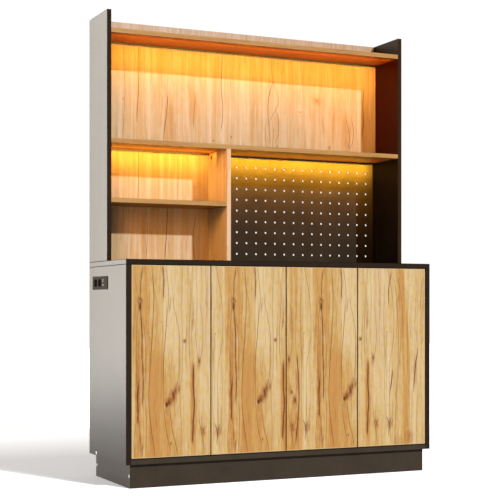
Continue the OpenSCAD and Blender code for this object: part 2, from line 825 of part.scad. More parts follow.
worktop();
base_side(-1);  // base_side_left
base_side(1);  // base_side_right
base_bottom();
base_partition();
base_backs();
inner_shelf(-1);  // shelf_left
inner_shelf(1);  // shelf_right
shelf_pins();
plinth_front();
plinth_back();
plinth_side(-1);  // plinth_left
plinth_side(1);  // plinth_right
plinth_stretchers();
side_screws();
dowels();
hutch_side(-1);  // hutch_side_left
hutch_side(1);  // hutch_side_right
top_shelf();
mid_shelf();
hutch_divider();
small_shelf();
upper_back();
lower_back();
gallery_rail();
pegboard();
led_bar(bar_top_place);  // led_bar_top
led_bar(bar_left_place);  // led_bar_left
led_bar(bar_right_place);  // led_bar_right
led_lenses();
socket_plate();
socket_inserts();
socket_body();
usb_ports();
door(1);  // door_1
door(2);  // door_2
door(3);  // door_3
door(4);  // door_4
hinge_cups(1);  // hinge_cups_1
hinge_cups(2);  // hinge_cups_2
hinge_cups(3);  // hinge_cups_3
hinge_cups(4);  // hinge_cups_4
hinge_links(1);  // hinge_links_1
hinge_links(2);  // hinge_links_2
hinge_links(3);  // hinge_links_3
hinge_links(4);  // hinge_links_4
hinge_arms();
hinge_plates();
strike_plate(1);  // strike_plate_1
strike_plate(2);  // strike_plate_2
strike_plate(3);  // strike_plate_3
strike_plate(4);  // strike_plate_4
latch_bodies();
plunger(1);  // plunger_1
plunger(2);  // plunger_2
plunger(3);  // plunger_3
plunger(4);  // plunger_4
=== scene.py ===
# Kitchen buffet: four oak-print doors on a dark base, and an open hutch above
# with warm light bars and a perforated panel.
# Boards, prints and screws are in millimetres; bumps, floor, lights and camera are in metres.
# X runs along the front, the doors face -Y, and the floor is Z = 0.

import math

import bpy
import numpy as np
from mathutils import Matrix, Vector


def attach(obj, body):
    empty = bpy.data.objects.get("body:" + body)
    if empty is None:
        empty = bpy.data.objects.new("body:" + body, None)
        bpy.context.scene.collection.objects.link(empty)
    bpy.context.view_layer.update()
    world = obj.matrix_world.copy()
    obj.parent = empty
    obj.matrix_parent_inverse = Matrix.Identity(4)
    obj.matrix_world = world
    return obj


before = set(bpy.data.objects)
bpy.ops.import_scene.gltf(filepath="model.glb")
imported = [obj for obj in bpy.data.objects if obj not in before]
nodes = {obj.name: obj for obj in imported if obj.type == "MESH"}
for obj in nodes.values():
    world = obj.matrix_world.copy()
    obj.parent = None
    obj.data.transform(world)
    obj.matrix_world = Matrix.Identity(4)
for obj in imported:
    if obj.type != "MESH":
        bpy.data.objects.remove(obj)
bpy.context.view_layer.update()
print("frame loaded,", len(nodes), "nodes")


class Look(dict):  # a dictionary of settings, whose entries also read as attributes
    __getattr__ = dict.__getitem__


perMetre = 1000  # millimetres in a metre
doors = Look(start=-580, pitch=290.5, width=288.5)  # where they lie across the front
doorIds = (1, 2, 3, 4)


def addObject(name, data):
    piece = bpy.data.objects.new(name, data)
    bpy.context.scene.collection.objects.link(piece)
    return piece


# Shader tools

# a screen colour, 0 to 255, made linear and scaled, all alike or each channel
def shade(red, green, blue, gain=1):
    channels = np.array([red, green, blue]) / 255
    linear = np.where(channels <= 0.04045, channels / 12.92, ((channels + 0.055) / 1.055) ** 2.4)
    return tuple(float(c) for c in np.clip(linear * np.array(gain), 0, 1)) + (1.0,)


def darker(colour, share):
    return tuple(share * c for c in colour[:3]) + (1,)


class Tap:  # one output of a node; the methods below it add Math nodes
    def __init__(self, board, socket):
        self.board = board
        self.socket = socket


def mathMethod(operation, turned=False):
    def method(self, *others):
        terms = (*others, self) if turned else (self, *others)
        return self.board.put("Math", {"operation": operation}, dict(enumerate(terms)))
    return method


for name, operation in {
        "__add__": "ADD", "__sub__": "SUBTRACT", "__mul__": "MULTIPLY", "__truediv__": "DIVIDE",
        "__mod__": "FLOORED_MODULO", "__gt__": "GREATER_THAN", "__lt__": "LESS_THAN",
        "__abs__": "ABSOLUTE", "least": "MINIMUM", "most": "MAXIMUM", "cosine": "COSINE"}.items():
    setattr(Tap, name, mathMethod(operation))
Tap.__radd__ = mathMethod("ADD", turned=True)
Tap.__rsub__ = mathMethod("SUBTRACT", turned=True)


class Board:  # one material's node tree
    def __init__(self, name, fixed):
        self.material = bpy.data.materials.new(name)
        self.material.use_nodes = True
        self.tree = self.material.node_tree
        self.tree.nodes.clear()
        self.shader = self.tree.nodes.new("ShaderNodeBsdfPrincipled")
        output = self.tree.nodes.new("ShaderNodeOutputMaterial")
        self.tree.links.new(self.shader.outputs[0], output.inputs[0])
        for socket, value in fixed.items():
            self.shader.inputs[socket].default_value = value
        place = self.put("TexCoord", out="Object")
        self.normal = Tap(self, place.socket.node.outputs["Normal"])
        self.place = self.vector("SCALE", place, scale=perMetre)
        self.x, self.y, self.z = self.split(self.place)

    # adds any node, with its settings, then the values or links of its inputs
    def put(self, kind, settings=None, values=None, out=0):
        node = self.tree.nodes.new("ShaderNode" + kind)
        for key, value in (settings or {}).items():
            if key == "stops":
                self.fillRamp(node.color_ramp, value)
            elif key == "curves":
                self.fillCurves(node.mapping, value)
            else:
                setattr(node, key, value)
        for key, value in (values or {}).items():
            if isinstance(value, Tap):
                self.tree.links.new(value.socket, node.inputs[key])
            else:
                node.inputs[key].default_value = value
        return Tap(self, node.outputs[out])

    def fillRamp(self, ramp, stops):
        while len(ramp.elements) < len(stops):
            ramp.elements.new(0.5)
        for element, (position, colour) in zip(ramp.elements, stops):
            element.position = position
            element.color = colour

    def fillCurves(self, mapping, curves):
        for curve, points in zip(mapping.curves, curves):
            for point, spot in zip((curve.points[0], curve.points[-1]), (points[0], points[-1])):
                point.location = spot
            for spot in points[1:-1]:
                curve.points.new(*spot)
        mapping.update()

    def vector(self, operation, *terms, scale=None):
        values = dict(enumerate(terms))
        if scale is not None:
            values["Scale"] = scale
        out = "Value" if operation in ("LENGTH", "DISTANCE", "DOT_PRODUCT") else "Vector"
        return self.put("VectorMath", {"operation": operation}, values, out)

    def split(self, tap):
        node = self.put("SeparateXYZ", values={0: tap}).socket.node
        return [Tap(self, node.outputs[k]) for k in range(3)]

    def join(self, x, y, z):
        return self.put("CombineXYZ", values={0: x, 1: y, 2: z})

    # 0 before start, 1 past end, smooth between; start may be the larger
    def fade(self, value, start, end):
        return self.put("MapRange", {"interpolation_type": "SMOOTHSTEP"}, {0: value, 1: start, 2: end})

    # the same for three channels at once
    def vectorFade(self, value, start, end):
        settings = {"data_type": "FLOAT_VECTOR", "interpolation_type": "SMOOTHSTEP"}
        values = {6: value, 7: start, 8: end, 9: (0, 0, 0), 10: (1, 1, 1)}
        return self.put("MapRange", settings, values, "Vector")

    def noise(self, place, detail=2, roughness=0.5):
        return self.put("TexNoise", values={
            "Vector": place, "Scale": 1, "Detail": detail, "Roughness": roughness})

    # noise with its own cell size along each axis
    def grainNoise(self, across, deep, along, sizes, detail=2, seed=0):
        spot = self.join(across / sizes[0] + seed, deep / sizes[1], along / sizes[2] + seed)
        return self.noise(spot, detail)

    # broad noise of one cell size
    def cloud(self, scale):
        return self.noise(self.vector("SCALE", self.place, scale=scale), 2)

    def cells(self, spot):
        return self.put("TexVoronoi", values={"Vector": spot, "Scale": 1})

    # a curve, given as across and value in hundredths in turn, at a share of its width
    def profile(self, points, width, share):
        points = [(a / width, b / 100) for a, b in zip(points[::2], points[1::2])]
        return self.put("FloatCurve", {"curves": [points]}, {"Value": share})

    # how far a face looks along an axis, from -1 to 1
    def facing(self, axis):
        return self.split(self.normal)[axis]

    def blend(self, first, second, factor, kind="MIX"):
        return self.put("Mix", {"data_type": "RGBA", "blend_type": kind},
                        {0: factor, 6: first, 7: second}, 2)

    def tint(self, colour, channels, factor=1):
        return self.blend(colour, channels + (1,), factor, "MULTIPLY")

    def ramp(self, value, stops):
        return self.put("ValToRGB", {"stops": stops}, {0: value})

    def bump(self, height, strength, distance):
        return self.put("Bump", values={"Strength": strength, "Distance": distance, "Height": height})

    def feed(self, **links):
        names = {"colour": "Base Color", "roughness": "Roughness", "normal": "Normal",
                 "emission": "Emission Color"}
        for key, tap in links.items():
            self.tree.links.new(tap.socket, self.shader.inputs[names[key]])
        return self.material


# curve points of a way, given as across and height in turn, over a span of heights
def curvePoints(way, span, width):
    low, high = span
    points = sorted(((z - low) / (high - low), s / width) for s, z in zip(way[::2], way[1::2]))
    return [(0, points[0][1])] + points + [(1, points[-1][1])]


drawnLook = Look(
    core=0.25,  # solid middle of a strand, as a share of its half width
    wobbleCells=(5, 1, 9), wobbleSeed=3.7, wobbleAcross=3, wobbleAlong=5,
    knotFade=(1.15, 0.35),
)


# Three drawn strands at a time, one to each channel: a curve gives each one's place across
# the print for a height, and its mask falls off with the distance from that place. A strand is
# its strength, its half width, then across and height of each point on its way.
def strandMasks(board, across, look, key, width=None, reach=1, feather=22):
    low, high = look.span
    width = width or look.width
    total = None
    t = (board.z - low) / (high - low)
    spot, level = [board.join(tap, tap, tap) for tap in (across, board.z)]
    for k in range(0, len(look[key]), 3):
        trio = look[key][k:k + 3]
        trio += [(0, 1, -width, high, -width, low)] * (3 - len(trio))  # these run off the print
        strengths, halves = zip(*[strand[:2] for strand in trio])
        bottoms, tops = [[end(strand[3::2]) for strand in trio] for end in (min, max)]
        curves = [curvePoints(strand[2:], look.span, width) for strand in trio]
        place = board.put("RGBCurve", {"curves": curves}, {"Color": board.join(t, t, t)})
        place = board.vector("SCALE", place, scale=width)
        gap = board.vector("ABSOLUTE", board.vector("SUBTRACT", spot, place))
        radii = [reach * h for h in halves]
        core = board.vectorFade(gap, radii, [drawnLook.core * h for h in radii])
        above = board.vectorFade(level, [z - feather for z in bottoms], [z + feather for z in bottoms])
        below = board.vectorFade(level, [z + feather for z in tops], [z - feather for z in tops])
        shown = board.vector("MULTIPLY", board.vector("MULTIPLY", core, above), below)
        part = board.vector("DOT_PRODUCT", shown, strengths)
        total = part if total is None else total + part
    return total


# Knots: the distance from each centre, in its own radii, turned into a soft-edged spot.
# A knot is its strength, its place as across and height, and its half width and half height.
def knotMask(board, across, knots):
    look = drawnLook
    total = None
    wobble = board.grainNoise(across, 0, board.z, look.wobbleCells, 1, look.wobbleSeed) - 0.5
    spot = board.join(across + wobble * look.wobbleAcross, board.z + wobble * look.wobbleAlong, 0)
    for strength, s, z, wide, tall in knots:
        gap = board.vector("SUBTRACT", spot, (s, z, 0))
        gap = board.vector("MULTIPLY", gap, (1 / wide, 1 / tall, 0))
        part = board.fade(board.vector("LENGTH", gap), *look.knotFade) * strength
        total = part if total is None else total.most(part)
    return total


# Oak prints

# colours below are picked as they look lit; this gain turns them into the print's own
lightGain = (0.65, 0.61, 0.555)
oak = Look({name: shade(*colour, lightGain) for name, colour in {
    "pale": (244, 224, 180), "cream": (234, 206, 150), "honey": (225, 184, 114),
    "amber": (215, 159, 92), "brown": (203, 142, 86), "line": (134, 84, 22), "red": (168, 84, 34),
    "dark": (108, 49, 10), "crack": (108, 66, 32), "pink": (240, 208, 174), "edge": (242, 220, 172),
    "seam": (72, 46, 20)}.items()})
oakRamp = [(k / 4, oak[name]) for k, name in enumerate("pale cream honey amber brown".split())]

doorPrint = Look(
    width=345, start=-585,  # width of the print's sheet, and where the first one begins
    span=(60, 800),  # heights that the strands are drawn between
    seed=2, poreSeed=4, fleckSeed=6,
    waveCells=(40, 60, 90), waveSeed=5, wave=2.6,
    # how far the noise changes the warmth: bands, streaks, mottle and fibres
    stir=(0.7, 0.7, 0.6, 0.16),
    # across and warmth, in hundredths, in turn: near the top, half way down and near the bottom
    upper=[0, 20, 3, 24, 6, 50, 20, 54, 28, 50, 36, 48, 44, 53, 60, 53, 72, 45, 92, 46, 112, 44,
           119, 30, 124, 16, 140, 8, 158, 6, 172, 12, 190, 20, 205, 22, 222, 16, 250, 10, 262, 20,
           276, 10, 290, 14, 345, 12],
    middle=[0, 28, 8, 16, 16, 44, 24, 62, 36, 62, 46, 45, 56, 50, 66, 48, 84, 62, 112, 60, 122, 50,
            140, 40, 160, 34, 180, 26, 200, 18, 215, 24, 226, 56, 236, 30, 246, 32, 262, 14, 280, 16,
            300, 12, 345, 14],
    foot=[0, 34, 10, 36, 20, 56, 34, 58, 46, 50, 60, 50, 74, 66, 92, 70, 110, 66, 130, 60, 150, 56,
          165, 50, 178, 46, 190, 28, 206, 22, 220, 50, 230, 60, 242, 36, 256, 36, 270, 34, 290, 30,
          310, 20, 345, 20],
    middleFade=(500, 370), middleSway=160, footFade=(290, 190), footSway=120,
    # the broad brown band lies between these two ways, and fades in below a height
    bandLeft=[96, 600, 88, 500, 80, 450, 70, 366, 66, 306, 70, 234, 79, 173, 83, 102],
    bandRight=[122, 600, 119, 500, 117, 450, 116, 350, 113, 290, 107, 230, 106, 170, 110, 102],
    bandTop=(505, 415), bandSway=150, bandScale=200, bandSoft=(-1.5, 2.5),
    bandKeep=0.7, bandAdd=0.5,
    # a rosy strip near the top, but not on the second sheet, and pale flushes
    pinkMiddle=275, pinkFade=(26, 8), pinkRise=(380, 560), pinkShare=0.4,
    flushShare=0.7,
    # small greenish-yellow and rosy patches
    patchCells=(11, 20, 26), patchSeed=9, patchShare=0.65,
    patchTint=(1.02, 0.98, 0.66), patchFade=(0.5, 0.66),
    rosyTint=(1, 0.93, 1.16), rosyFade=(0.5, 0.35),
    # how strongly the marks show, many of them more where the mottle or the streaks are strong
    contourShare=0.3, fleckShare=0.4, glowReach=4.2, glowShare=0.27, haloShare=0.6,
    stainMottle=(0.2, 1.5), stainMost=0.75, lineStreaks=(0.55, 0.7), lineMost=0.9,
    crackMottle=(0.2, 1.7), strokeShare=0.7, strokeFeather=9, knotMottle=(0.1, 1.6),
    darkMost=0.92, poreShare=0.3,
    # strands: strength, half width, then across and height of each point
    lines=[
        (0.4, 1.6, 14, 755, 20, 690, 31, 640), (0.55, 2, 31, 650, 24, 560, 21, 455, 22, 400, 27, 290),
        (0.5, 2, 24, 232, 17, 205, 12, 150, 16, 104),
        (0.85, 2, 78, 752, 84, 654, 82, 569, 74, 450, 69, 366, 67, 306, 71, 234, 79, 173, 89, 102),
        (0.4, 1.7, 64, 755, 86, 668, 97, 602, 95, 528, 85, 468, 74, 420),
        (0.7, 1.9, 127, 755, 135, 696, 138, 640, 133, 588, 125, 501, 120, 450, 119, 314, 123, 244, 131, 183,
         146, 114),
        (0.6, 1.6, 131, 620, 129, 535, 122, 450, 118, 365),
        (0.6, 1.8, 217, 706, 219, 637, 213, 517, 217, 414),
        (0.55, 1.8, 254, 627, 263, 568, 262, 465, 254, 420),
        (0.8, 2, 144, 265, 146, 231, 154, 182, 167, 132, 170, 103),
        (0.7, 1.9, 249, 264, 252, 215, 260, 177, 268, 116), (0.7, 1.9, 44, 155, 43, 119, 41, 100),
        (0.6, 1.8, 316, 755, 334, 640, 338, 560, 336, 488, 322, 408, 321, 280, 326, 120),
        (0.5, 1.6, 299, 700, 296, 560, 301, 420, 300, 300, 306, 150),
        (0.35, 1.5, 150, 755, 151, 690, 154, 630),
        (0.65, 1.7, 154, 640, 168, 572, 177, 520, 177, 470, 175, 380, 166, 330),
        (0.45, 1.6, 189, 755, 186, 620, 190, 520, 188, 400, 180, 300, 186, 180, 183, 100),
        (0.5, 1.6, 237, 755, 243, 640, 238, 520, 246, 440),
        (0.45, 1.5, 274, 755, 279, 620, 276, 500, 281, 440),
        (0.5, 1.8, 50, 560, 56, 440, 52, 330, 58, 220, 54, 110),
    ],
    cracks=[
        (1, 2.5, 38, 606, 42, 519, 42, 451, 46, 366, 46, 331, 44, 283),
        (1, 3, 30, 355, 26, 307, 28, 259, 27, 225), (0.55, 2, 27, 240, 31, 222, 35, 180, 36, 140),
        (0.7, 2, 44, 755, 38, 694, 36, 650), (0.85, 2.4, 116, 756, 120, 712, 119, 640),
        (1.1, 3.4, 230, 410, 229, 338, 233, 277, 229, 216, 226, 150),
        (0.4, 2.2, 228, 640, 229, 590, 227, 545), (0.45, 2.2, 145, 640, 142, 600),
    ],
    # knots: strength, across, height, half width, half height
    knots=[
        (1.4, 35.5, 616, 5, 17), (0.9, 35, 642, 3, 8), (0.5, 40, 634, 2.6, 7), (0.4, 30, 630, 2.2, 7),
        (1, 197, 497, 5.2, 6), (0.8, 250, 428, 4.6, 11), (1.1, 131, 281, 7, 11),
        (0.62, 141, 288, 9, 11), (0.55, 149, 298, 9, 12), (0.72, 157, 312, 8, 15),
        (0.6, 163, 325, 7, 15), (0.35, 176, 333, 5, 14), (0.7, 318, 186, 3, 11),
        (0.6, 325, 192, 2.6, 8), (0.7, 147, 148, 3.6, 6), (0.5, 266, 190, 4, 8), (0.4, 272, 178, 3, 7),
        (0.6, 43, 138, 3.2, 12), (0.5, 146, 640, 2.4, 7), (0.5, 311, 520, 2.4, 6),
    ],
    strokes=[  # short marks round the small knots
        (0.9, 2.6, 308, 210, 314, 196, 318, 178, 319, 158),
        (0.8, 2.4, 329, 208, 323, 192, 320, 172, 316, 140), (0.7, 2.2, 336, 200, 331, 184, 333, 172),
        (0.55, 2.4, 257, 200, 264, 188, 271, 168), (0.55, 2.4, 277, 206, 269, 190, 262, 172),
        (0.6, 2.2, 40, 646, 44, 634, 40, 618), (0.6, 2.2, 29, 650, 26, 636, 31, 620),
        (0.6, 2.2, 246, 446, 250, 430, 254, 412), (0.7, 2.2, 44, 150, 41, 132, 44, 112),
    ],
    halos=[
        (0.75, 36, 624, 11, 36), (1.1, 140, 290, 19, 22), (1.1, 155, 312, 19, 30),
        (0.7, 168, 336, 16, 26), (0.5, 134, 262, 10, 22), (0.7, 197, 497, 10, 12),
        (0.7, 250, 425, 10, 30), (0.8, 322, 184, 15, 26), (0.6, 262, 186, 16, 22),
        (0.35, 226, 560, 7, 40), (0.65, 27, 390, 9, 170), (0.5, 32, 150, 9, 50),
    ],
    # pale flushes: strength, across, height, half width, half height
    flushes=[
        (0.7, 52, 500, 8, 34), (0.7, 140, 640, 12, 44), (0.4, 46, 118, 8, 32), (0.6, 170, 214, 15, 70),
        (0.5, 246, 640, 12, 60), (0.5, 300, 330, 18, 120), (0.5, 130, 560, 9, 80),
        (0.5, 205, 300, 12, 60),
    ],
    # drawn on the second sheet only
    secondWarm=0.26, secondMiddle=268, secondFade=(44, 32),
    secondCracks=[(1, 3, 283, 440, 288, 380, 291, 288, 287, 210, 278, 135)],
    secondKnots=[(1, 275, 280, 5, 14), (0.6, 262, 310, 7, 10)],
    secondHalos=[(0.9, 275, 278, 13, 34), (0.6, 286, 350, 12, 60), (0.5, 262, 560, 12, 60),
                 (0.6, 255, 320, 10, 30), (0.8, 284, 185, 10, 80)],
    # the right half of door 4 carries the next sheet, drawn by its own X
    nextStart=432, nextWidth=170, nextShown=12, nextCracksShown=-20, nextNoise=400,
    leanFrom=430, lean=0.08,  # above this height the bands lean to the left
    nextTone=[0, 30, 16, 34, 34, 30, 46, 42, 60, 58, 74, 55, 82, 30, 90, 12, 120, 20, 150, 30, 168, 26],
    nextLines=[
        (0.7, 1.9, 6, 755, 18, 690, 27, 600, 32, 480, 26, 330, 19, 200, 16, 103),
        (0.55, 1.6, 20, 755, 42, 660, 50, 560, 36, 420, 30, 300),
        (0.6, 1.8, 113, 285, 112, 200, 111, 104), (0.45, 1.6, 74, 640, 72, 420, 80, 240, 76, 110),
        (0.5, 1.6, 137, 720, 134, 600, 120, 470), (0.45, 1.6, 92, 300, 96, 200, 90, 110),
    ],
    nextCracks=[
        (0.9, 2.4, -9, 742, -10, 680, -9, 625), (1, 3, 115, 450, 107, 405, 99, 325, 98, 302),
        (1, 3.4, 6, 375, 2, 335, -3, 300), (0.5, 2.2, 133, 710, 128, 600), (0.6, 2.2, 82, 150, 80, 106),
    ],
    nextHalos=[(1, 2, 345, 13, 60), (0.5, 106, 380, 10, 70), (0.5, 80, 130, 30, 34),
               (0.5, 20, 118, 40, 26)],
    # pale band on a door's edges, partly edge band and partly painted highlight, and painted shade in the
    # gaps between the doors
    doorLow=102, frontY=-200,
    rimFade=(3.6, 2.4), rimUpright=(0.4, 0.6), rimShare=0.85,
    seamFade=(1.5, 0.5), seamEnds=20, seamDepth=(6, 4), seamShare=0.9,
)


grainLook = Look(  # cell sizes across, deep and along, in millimetres
    driftCells=(60, 60, 200), drift=16, bandCells=(17, 40, 520), streakCells=(5.5, 30, 210),
    fibreCells=(0.9, 8, 46), mottleCells=(9, 20, 30), contourFade=(0.03, 0),
    contourStreaks=(0.35, 0.6),
    fleckCells=(13, 13, 34), fleckFade=(0.17, 0.05), fleckGroups=0.45, groupFade=(0.5, 0.6),
    poreCells=(1.6, 1.6, 22), poreFade=(0.16, 0.05),
    roughness=0.36, streakRough=0.12, poreRough=0.2, poreDepth=0.8, crackDepth=1.2,
    bump=(0.28, 0.00025),
)


# grain for any oak board: broad bands, narrow streaks and contour lines that run along it
def oakGrain(board, across, deep, along, seed):
    look = grainLook
    drift = (board.grainNoise(across, deep, along, look.driftCells, 2, seed) - 0.5) * look.drift
    bent = across + drift
    bands = board.grainNoise(bent, deep, along, look.bandCells, 3, seed + 1)
    streaks = board.grainNoise(bent, deep, along, look.streakCells, 3, seed + 2)
    fibres = board.grainNoise(across, deep, along, look.fibreCells, 2, seed + 3)
    mottle = board.grainNoise(across, deep, along, look.mottleCells, 4, seed + 4)
    contour = board.fade(abs(bands - 0.5), *look.contourFade) * board.fade(streaks, *look.contourStreaks)
    return Look(bands=bands, streaks=streaks, mottle=mottle, fibres=fibres, contour=contour)


# bands, streaks, mottle and fibres each move the warmth up or down by their share
def stir(warm, grain, shares):
    for noise, share in zip((grain.bands, grain.streaks, grain.mottle, grain.fibres), shares):
        warm = warm + (noise - 0.5) * share
    return warm


# flecks: scattered short brown marks a few millimetres long
def oakFlecks(board, across, deep, along, seed):
    look = grainLook
    wide, thick, tall = look.fleckCells
    spot = board.join(across / wide + seed, deep / thick, along / tall)
    chosen = board.noise(board.vector("SCALE", spot, scale=look.fleckGroups), 1)
    return board.fade(board.cells(spot), *look.fleckFade) * board.fade(chosen, *look.groupFade)


# pores: short dark dashes that only show close up
def oakPores(board, across, deep, along, seed):
    wide, thick, tall = grainLook.poreCells
    spot = board.join(across / wide + seed, deep / thick, along / tall)
    return board.fade(board.cells(spot), *grainLook.poreFade)


def finishOak(board, colour, grain, pores, cracks=None):
    look = grainLook
    height = grain.fibres * 0.5 + grain.streaks * 0.5 - pores * look.poreDepth
    if cracks is not None:
        height = height - cracks * look.crackDepth
    rough = look.roughness + grain.streaks * look.streakRough + pores * look.poreRough
    return board.feed(colour=colour, roughness=rough, normal=board.bump(height, *look.bump))


# warmth of the doors' colour: three profiles blended by height, then the next sheet's own,
# then noise and the brown band
def doorWarmth(board, s, u, onNext, onSecond, grain):
    look = doorPrint
    z, width = board.z, look.width
    share = s / width
    upper, middle, foot = [board.profile(look[key], width, share) for key in ("upper", "middle", "foot")]
    shift = board.fade(z + (grain.bands - 0.5) * look.middleSway, *look.middleFade)
    lower = board.fade(z + (grain.bands - 0.5) * look.footSway, *look.footFade)
    warm = (upper * (1 - shift) + middle * shift) * (1 - lower) + foot * lower
    second = board.fade(abs(s - look.secondMiddle), *look.secondFade)
    warm = warm + onSecond * second * look.secondWarm
    leaning = u + (z - look.leanFrom).most(0) * look.lean
    nextWarm = board.profile(look.nextTone, look.nextWidth, leaning / look.nextWidth)
    warm = stir(warm * (1 - onNext) + nextWarm * onNext, grain, look.stir)
    low, high = look.span
    ways = [curvePoints(look[key], look.span, look.bandScale) for key in ("bandLeft", "bandRight")]
    t = (z - low) / (high - low)
    sides = board.put("RGBCurve", {"curves": ways}, {"Color": board.join(t, t, t)})
    left, right = [side * look.bandScale for side in board.split(sides)[:2]]
    band = board.fade(s - left, *look.bandSoft) * board.fade(right - s, *look.bandSoft)
    band = band * board.fade(z + (grain.streaks - 0.5) * look.bandSway, *look.bandTop) * (1 - onNext)
    return warm * (1 - band * look.bandKeep) + band * look.bandAdd


# pale band on the doors' edges and a little way round them, as edge band and as a painted highlight on the
# outer and bottom edges, and painted shade in the gaps between the doors
def doorEdges(board, colour):
    look = doorPrint
    x, first, last = board.x, doors.start, -doors.start

    def near(value, edge, reaches, way=1):  # fades in close to an edge, to one side of it
        return board.fade(value, *[edge + way * reach for reach in reaches])

    # painted highlight near the outer and bottom edges, and the edge band's pale colour on the top and
    # bottom faces
    bandAndHighlight = near(x, first, look.rimFade).most(near(x, last, look.rimFade, -1))
    bandAndHighlight = bandAndHighlight.most(near(board.z, look.doorLow, look.rimFade))
    bandAndHighlight = bandAndHighlight.most(board.fade(abs(board.facing(2)), *look.rimUpright))
    colour = board.blend(colour, oak.edge, bandAndHighlight * look.rimShare)
    # painted shade in the gaps between the doors, on the front faces only
    side = (x - first) % doors.pitch
    seam = near(side, 0, look.seamFade).most(near(side, doors.width, look.seamFade, -1))
    front = near(board.y, look.frontY, look.seamDepth)
    seam = seam * (abs(x) < last - look.seamEnds) * front
    return board.blend(colour, oak.seam, seam * look.seamShare)


def makeDoorOak():
    look = doorPrint
    board = Board("oakDoor", {"Specular IOR Level": 0.12})
    x, y, z = board.x, board.y, board.z
    start, width = look.start, look.width
    onNext = x > look.nextStart + look.nextShown
    onTile = 1 - onNext
    onSecond = (x > start + width) * (x < start + 2 * width)
    wave = (board.grainNoise(x, y, z, look.waveCells, 2, look.waveSeed) - 0.5) * look.wave
    s = (x - start + wave) % width
    u = x - look.nextStart + wave
    grain = oakGrain(board, s + onNext * look.nextNoise, y, z, look.seed)
    pores = oakPores(board, x, y, z, look.poreSeed)

    colour = board.ramp(doorWarmth(board, s, u, onNext, onSecond, grain), oakRamp)
    pink = board.fade(abs(s - look.pinkMiddle), *look.pinkFade) * board.fade(z, *look.pinkRise)
    colour = board.blend(colour, oak.pink, pink * (1 - onSecond) * look.pinkShare)
    flush = knotMask(board, s, look.flushes) * onTile
    colour = board.blend(colour, oak.pale, flush * look.flushShare)
    hue = board.grainNoise(x, y, z, look.patchCells, 3, look.patchSeed)
    for kind in ("patch", "rosy"):
        patch = board.fade(hue, *look[kind + "Fade"])
        colour = board.tint(colour, look[kind + "Tint"], patch * look.patchShare)

    # drawn strands and knots of the print
    lines = strandMasks(board, s, look, "lines") * onTile
    lines = lines + strandMasks(board, u, look, "nextLines", look.nextWidth) * onNext
    cracks = strandMasks(board, s, look, "cracks") * onTile
    cracks = cracks + strandMasks(board, s, look, "secondCracks") * onSecond
    onNextCracks = x > look.nextStart + look.nextCracksShown
    cracks = cracks + strandMasks(board, u, look, "nextCracks", look.nextWidth) * onNextCracks
    strokes = strandMasks(board, s, look, "strokes", feather=look.strokeFeather) * onTile
    glow = strandMasks(board, s, look, "cracks", reach=look.glowReach) * onTile
    knots, halos = [knotMask(board, s, look[key]) * onTile for key in ("knots", "halos")]
    knots = knots.most(knotMask(board, s, look.secondKnots) * onSecond)
    halos = halos.most(knotMask(board, s, look.secondHalos) * onSecond)
    halos = halos + knotMask(board, u, look.nextHalos) * onNext

    def mottled(mask, shares, noise=grain.mottle):
        return mask * (shares[0] + noise * shares[1])

    flecks = oakFlecks(board, x, y, z, look.fleckSeed)
    faint = grain.contour * look.contourShare + flecks * look.fleckShare
    stain = mottled(glow * look.glowShare + halos * look.haloShare, look.stainMottle)
    drawn = mottled(lines, look.lineStreaks, grain.streaks)
    rough = mottled(cracks, look.crackMottle) + strokes * look.strokeShare
    dark = rough.most(mottled(knots, look.knotMottle))
    for kind, mask in (("line", faint), ("red", stain.least(look.stainMost)),
                       ("line", drawn.least(look.lineMost)), ("dark", dark.least(look.darkMost)),
                       ("line", pores * look.poreShare)):
        colour = board.blend(colour, oak[kind], mask)
    return finishOak(board, doorEdges(board, colour), grain, pores, rough)


# how far the finer noise, mottle and fibres, moves the warmth on every board
boardStir = (0.35, 0.14)

